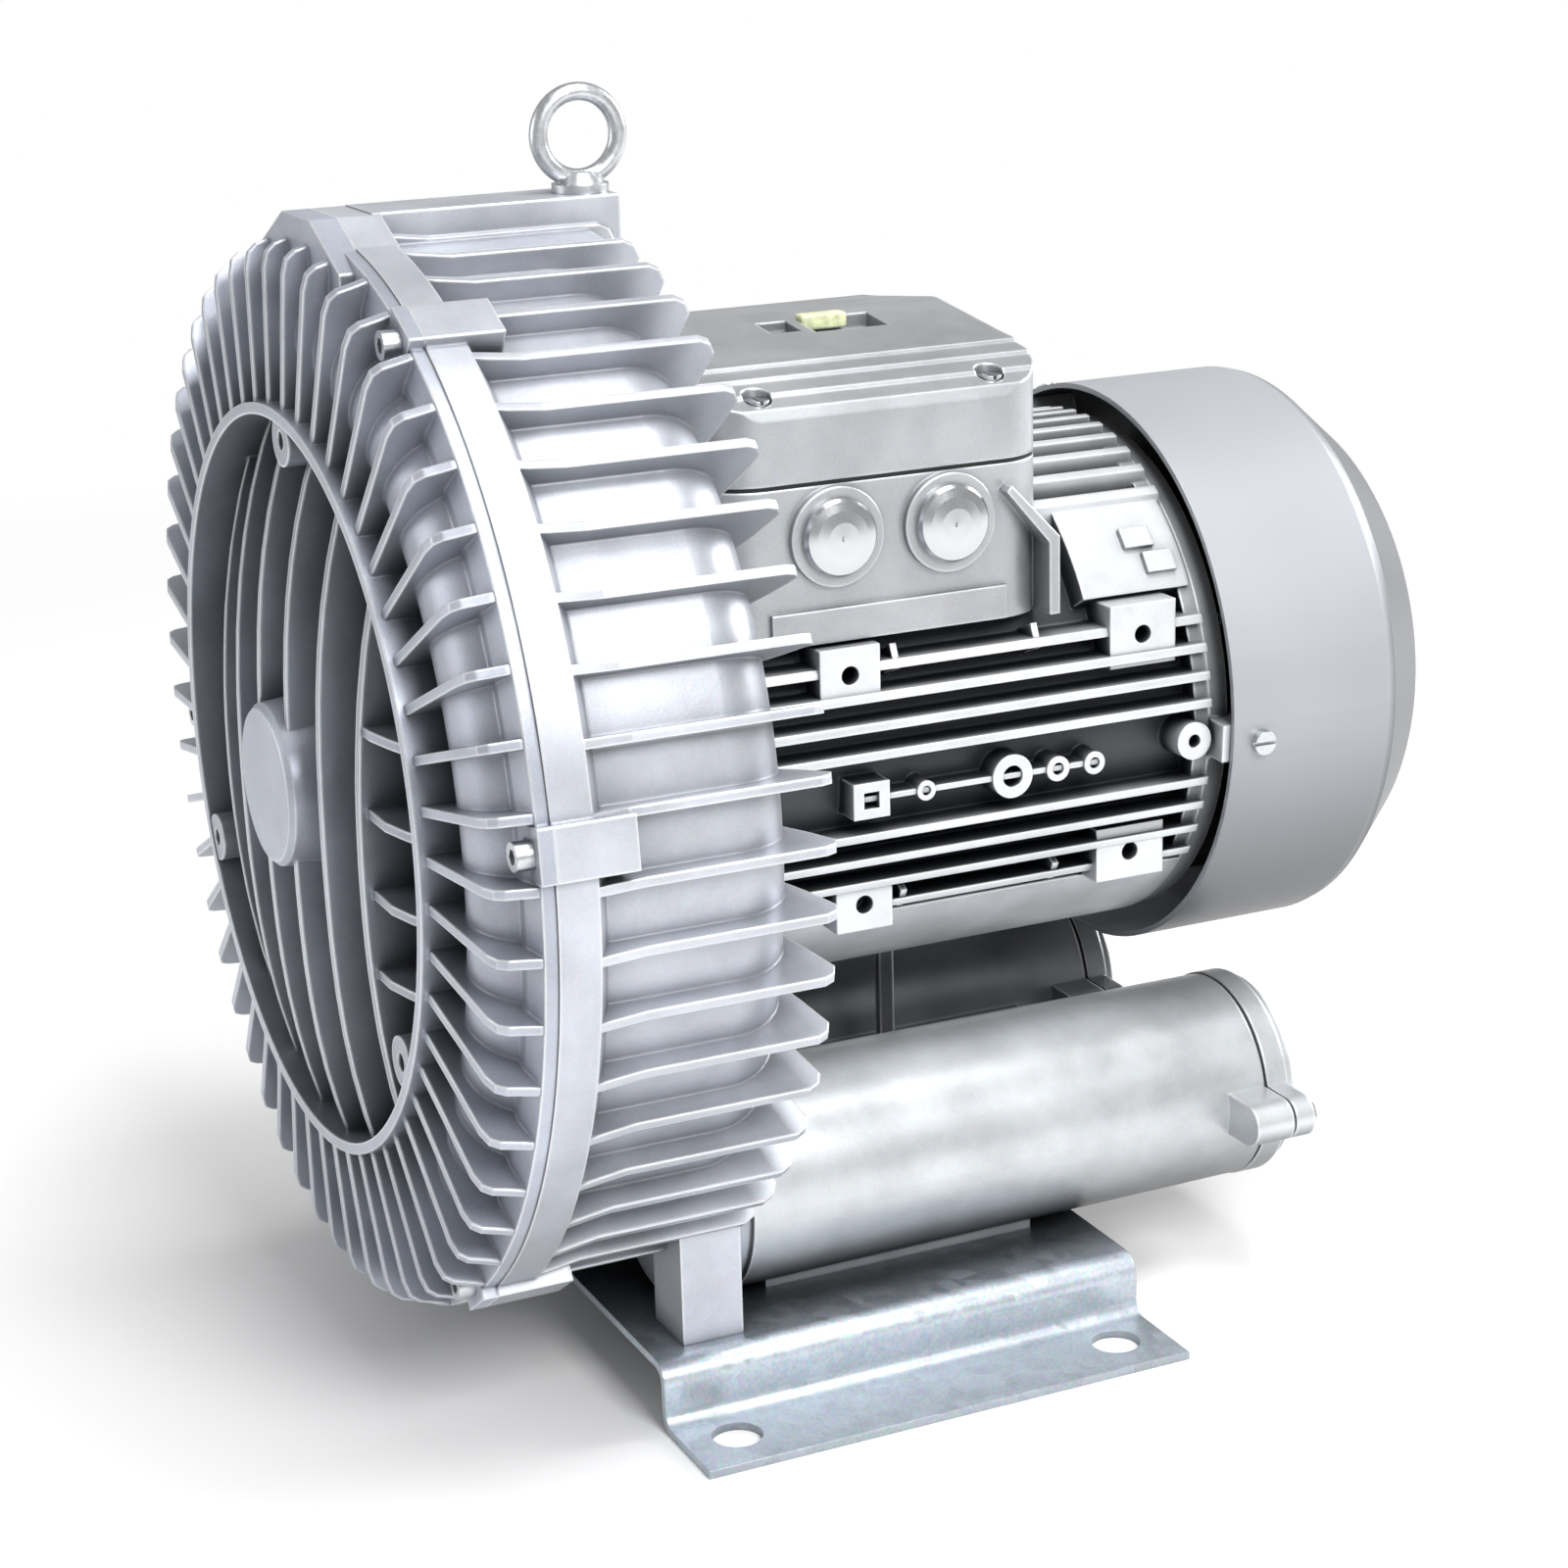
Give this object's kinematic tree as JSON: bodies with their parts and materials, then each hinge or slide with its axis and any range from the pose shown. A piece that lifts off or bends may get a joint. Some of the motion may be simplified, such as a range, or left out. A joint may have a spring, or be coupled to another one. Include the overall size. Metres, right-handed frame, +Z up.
{
  "type": "side channel blower",
  "caption": "Side channel air blower: finned ring-shaped pump housing with twin silencer tubes on a bent foot, flange-mounted fan-cooled motor, terminal box and lifting eye.",
  "frame": {"origin": "middle of the bounding box's bottom face, on the floor under the shaft", "axes": "+Z up, +Y along the shaft from the front cover to the fan cowl, +X to the side with the cable entries"},
  "size_m": [0.3874, 0.425, 0.4525],
  "materials": {
    "housing_casting": "satin, as cast",
    "silencer_casting": "satin, painted silver",
    "motor_casting": "satin, painted silver",
    "box_casting": "satin, painted silver",
    "cowl_sheet": "satin silver paint",
    "foot_sheet": "galvanised",
    "zinc_steel": "zinc plated",
    "plug_metal": "nickel plated",
    "shaft_steel": "ground",
    "bearing_steel": "polished",
    "spring_steel": "blued",
    "laminations": "stacked sheet, ground",
    "rotor_aluminium": "die cast",
    "impeller_aluminium": "die cast, turned faces",
    "copper_winding": "varnished copper wire",
    "cage_brass": "satin",
    "terminal_brass": "satin",
    "board_plastic": "moulded",
    "fan_plastic": "moulded",
    "seal_rubber": "matt",
    "silencer_foam": "open-cell foam",
    "mesh_steel": "perforated sheet"
  },
  "bodies": {
    "casing": {"front_cover": "housing_casting", "cover_seal": "seal_rubber", "rear_housing": "housing_casting", "housing_bolts": "zinc_steel", "eye_bolt": "zinc_steel", "shaft_seal": "seal_rubber", "front_bearing_outer_ring": "bearing_steel", "wave_spring": "spring_steel", "silencer_housing": "silencer_casting", "silencer_screws": "zinc_steel", "inlet_foam_sleeve": "silencer_foam", "outlet_foam_sleeve": "silencer_foam", "inlet_mesh_tube": "mesh_steel", "outlet_mesh_tube": "mesh_steel", "inlet_port_cover": "silencer_casting", "outlet_port_cover": "silencer_casting", "port_gaskets": "seal_rubber", "port_screws": "zinc_steel", "foot_plate": "foot_sheet", "foot_bolts": "zinc_steel", "motor_frame": "motor_casting", "frame_bolts": "zinc_steel", "stator_core": "laminations", "winding_front": "copper_winding", "winding_rear": "copper_winding", "rear_end_shield": "motor_casting", "end_shield_screws": "zinc_steel", "rear_bearing_outer_ring": "bearing_steel", "terminal_box_base": "box_casting", "terminal_box_gasket": "seal_rubber", "terminal_box_lid": "box_casting", "lid_screws": "zinc_steel", "terminal_board": "board_plastic", "terminal_studs": "terminal_brass", "terminal_links": "terminal_brass", "blanking_plug_front": "plug_metal", "blanking_plug_rear": "plug_metal", "fan_cowl": "cowl_sheet", "cowl_screws": "zinc_steel"},
    "rotor": {"shaft": "shaft_steel", "rotor_core": "laminations", "rotor_end_rings": "rotor_aluminium", "impeller": "impeller_aluminium", "impeller_key": "shaft_steel", "spacer_sleeve": "shaft_steel", "shaft_circlips": "spring_steel", "front_bearing_inner_ring": "bearing_steel", "rear_bearing_inner_ring": "bearing_steel", "cooling_fan": "fan_plastic"},
    "front_ball_set": {"front_bearing_cage": "cage_brass", "front_bearing_balls": "bearing_steel"},
    "rear_ball_set": {"rear_bearing_cage": "cage_brass", "rear_bearing_balls": "bearing_steel"}
  },
  "joints": [
    {"name": "rotor_spin", "type": "hinge", "parent": "casing", "child": "rotor", "pos_m": [0, -0.1775, 0.218], "axis": [0, 1, 0], "continuous": true},
    {"name": "front_cage_spin", "type": "hinge", "parent": "casing", "child": "front_ball_set", "pos_m": [0, -0.1984, 0.218], "axis": [0, 1, 0], "continuous": true},
    {"name": "rear_cage_spin", "type": "hinge", "parent": "casing", "child": "rear_ball_set", "pos_m": [0, 0.126, 0.218], "axis": [0, 1, 0], "continuous": true}
  ],
  "couplings": [
    {"joint": "front_cage_spin", "follows": "rotor_spin", "ratio": 0.3974},
    {"joint": "rear_cage_spin", "follows": "rotor_spin", "ratio": 0.3974}
  ]
}
